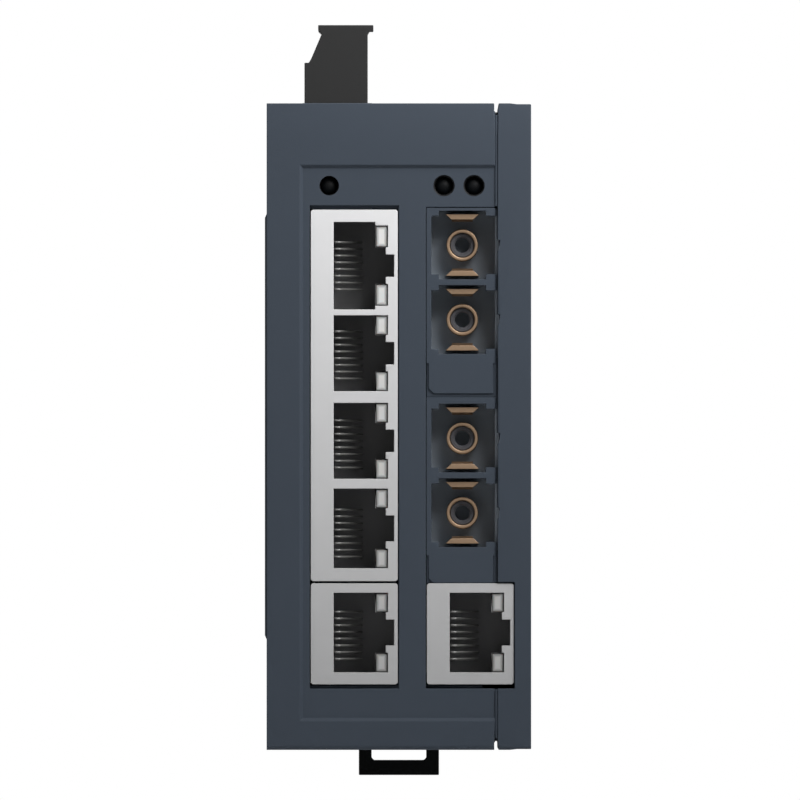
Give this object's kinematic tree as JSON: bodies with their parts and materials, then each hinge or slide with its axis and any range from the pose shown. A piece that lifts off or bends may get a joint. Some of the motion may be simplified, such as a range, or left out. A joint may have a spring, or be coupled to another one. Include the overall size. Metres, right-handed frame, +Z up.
{
  "type": "din rail ethernet switch",
  "caption": "Slim rail-mounted network switch: moulded housing and side cover, stacked copper jacks, duplex fibre ports, pluggable screw terminal on top and a sprung rail latch.",
  "frame": {"origin": "on the rail mount: where the housing's rail seat meets the rail's front face, at the middle of the housing's width and height", "axes": "+X to the right seen from the front, +Y back into the rail, +Z up; the ports face -Y"},
  "size_m": [0.0453, 0.079, 0.1283],
  "materials": {
    "housing": "fine matt grain, anthracite",
    "circuit_board": "solder mask",
    "black_moulding": "moulded black",
    "plug_grey": "moulded dark grey",
    "tinned_metal": "bright tin",
    "latch_black": "moulded black",
    "spring_steel": "drawn wire",
    "chip_black": "moulded package",
    "ceramic_white": "fired ceramic",
    "ceramic_grey": "fired grey ceramic",
    "light_smoked": "smoked lens",
    "jack_metal": "matt nickel plate",
    "contact_gold": "plated wire",
    "lens_clear": "milky clear",
    "module_black": "moulded dark grey",
    "bronze": "satin bronze",
    "zinc_steel": "zinc plate",
    "capacitor_can": "drawn can"
  },
  "bodies": {
    "switch_body": {"housing_body": "housing", "side_cover": "housing", "fibre_bezel_upper": "housing", "fibre_bezel_lower": "housing", "main_board": "circuit_board", "fibre_board": "circuit_board", "board_socket": "black_moulding", "board_header": "black_moulding", "power_header": "black_moulding", "header_pins": "tinned_metal", "latch_spring": "spring_steel", "switch_chip": "chip_black", "fibre_chip": "chip_black", "magnetics": "chip_black", "power_inductor": "chip_black", "input_fuse": "ceramic_white", "crystal": "tinned_metal", "status_light_left": "light_smoked", "light_holder_left": "black_moulding", "light_holder_right": "black_moulding", "gang_jack_shield": "jack_metal", "gang_jack_insert": "black_moulding", "gang_jack_contacts": "contact_gold", "gang_jack_lenses": "lens_clear", "left_jack_shield": "jack_metal", "left_jack_insert": "black_moulding", "left_jack_contacts": "contact_gold", "left_jack_lenses": "lens_clear", "right_jack_shield": "jack_metal", "right_jack_insert": "black_moulding", "right_jack_contacts": "contact_gold", "right_jack_lenses": "lens_clear", "transceiver_upper": "module_black", "transceiver_lower": "module_black", "port_barrel_1": "bronze", "ferrule_sleeve_1": "ceramic_grey", "port_clip_1": "bronze", "port_barrel_2": "bronze", "ferrule_sleeve_2": "ceramic_grey", "port_clip_2": "bronze", "port_barrel_3": "bronze", "ferrule_sleeve_3": "ceramic_grey", "port_clip_3": "bronze", "port_barrel_4": "bronze", "ferrule_sleeve_4": "ceramic_grey", "port_clip_4": "bronze", "status_light_right_1": "light_smoked", "capacitor_1": "capacitor_can", "status_light_right_2": "light_smoked", "capacitor_2": "capacitor_can"},
    "rail_latch": {"din_latch": "latch_black"},
    "plug": {"power_plug": "plug_grey", "plug_contacts": "tinned_metal"},
    "screw_1": {"terminal_screw_1": "zinc_steel"},
    "cage_1": {"clamp_cage_1": "zinc_steel"},
    "screw_2": {"terminal_screw_2": "zinc_steel"},
    "cage_2": {"clamp_cage_2": "zinc_steel"},
    "screw_3": {"terminal_screw_3": "zinc_steel"},
    "cage_3": {"clamp_cage_3": "zinc_steel"}
  },
  "joints": [
    {"name": "latch_slide", "type": "slide", "parent": "switch_body", "child": "rail_latch", "axis": [0, 0, -1], "range_m": [0, 0.004], "stiffness_N_per_m": 600, "springref_m": -0.003, "deforming": ["latch_spring"]},
    {"name": "plug_pull", "type": "slide", "parent": "switch_body", "child": "plug", "axis": [0, 0, 1], "range_m": [0, 0.015]},
    {"name": "screw_turn_1", "type": "hinge", "parent": "plug", "child": "screw_1", "pos_m": [-0.01613, -0.04851, 0.059], "axis": [1, 0, 0], "range_deg": [0, 1800]},
    {"name": "cage_slide_1", "type": "slide", "parent": "plug", "child": "cage_1", "axis": [-1, 0, 0], "range_m": [0, 0.00225]},
    {"name": "screw_turn_2", "type": "hinge", "parent": "plug", "child": "screw_2", "pos_m": [-0.01613, -0.04343, 0.059], "axis": [1, 0, 0], "range_deg": [0, 1800]},
    {"name": "cage_slide_2", "type": "slide", "parent": "plug", "child": "cage_2", "axis": [-1, 0, 0], "range_m": [0, 0.00225]},
    {"name": "screw_turn_3", "type": "hinge", "parent": "plug", "child": "screw_3", "pos_m": [-0.01613, -0.03835, 0.059], "axis": [1, 0, 0], "range_deg": [0, 1800]},
    {"name": "cage_slide_3", "type": "slide", "parent": "plug", "child": "cage_3", "axis": [-1, 0, 0], "range_m": [0, 0.00225]}
  ],
  "couplings": [
    {"joint": "screw_turn_1", "follows": "cage_slide_1", "rad_per_m": 13963},
    {"joint": "screw_turn_2", "follows": "cage_slide_2", "rad_per_m": 13963},
    {"joint": "screw_turn_3", "follows": "cage_slide_3", "rad_per_m": 13963}
  ]
}
